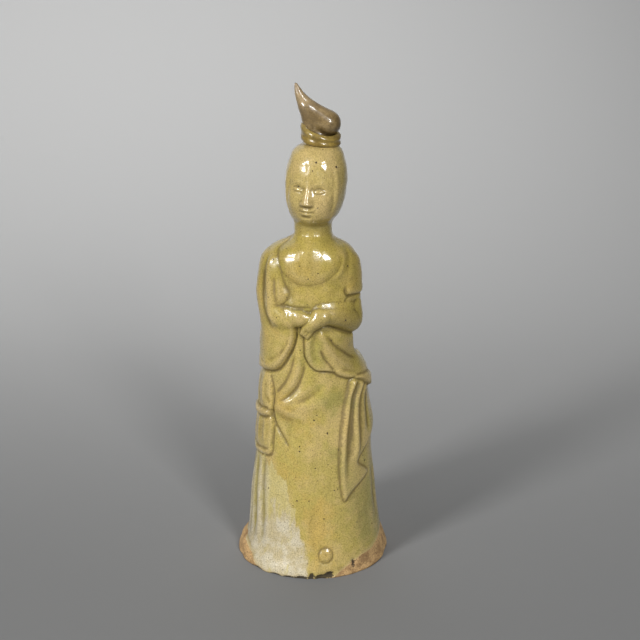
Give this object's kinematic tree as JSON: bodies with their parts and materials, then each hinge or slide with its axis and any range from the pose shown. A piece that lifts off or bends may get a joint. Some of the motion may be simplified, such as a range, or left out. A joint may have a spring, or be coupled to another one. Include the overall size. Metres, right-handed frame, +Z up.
{
  "type": "court lady figure",
  "caption": "Upright moulded pottery figure of a robed court lady with a swept-up topknot and clasped hands, standing on a flared foot.",
  "frame": {"origin": "centre of the flat underside's bounding box, on the ground", "axes": "+Z up, the figure faces -Y, the viewer's right is +X"},
  "size_m": [0.0861, 0.0826, 0.27],
  "materials": {
    "straw_glaze": "clear yellow straw glaze with fine crackle over pale clay, bare at the foot's rim"
  },
  "bodies": {
    "root": {"court_lady_figure": "straw_glaze"}
  },
  "joints": []
}
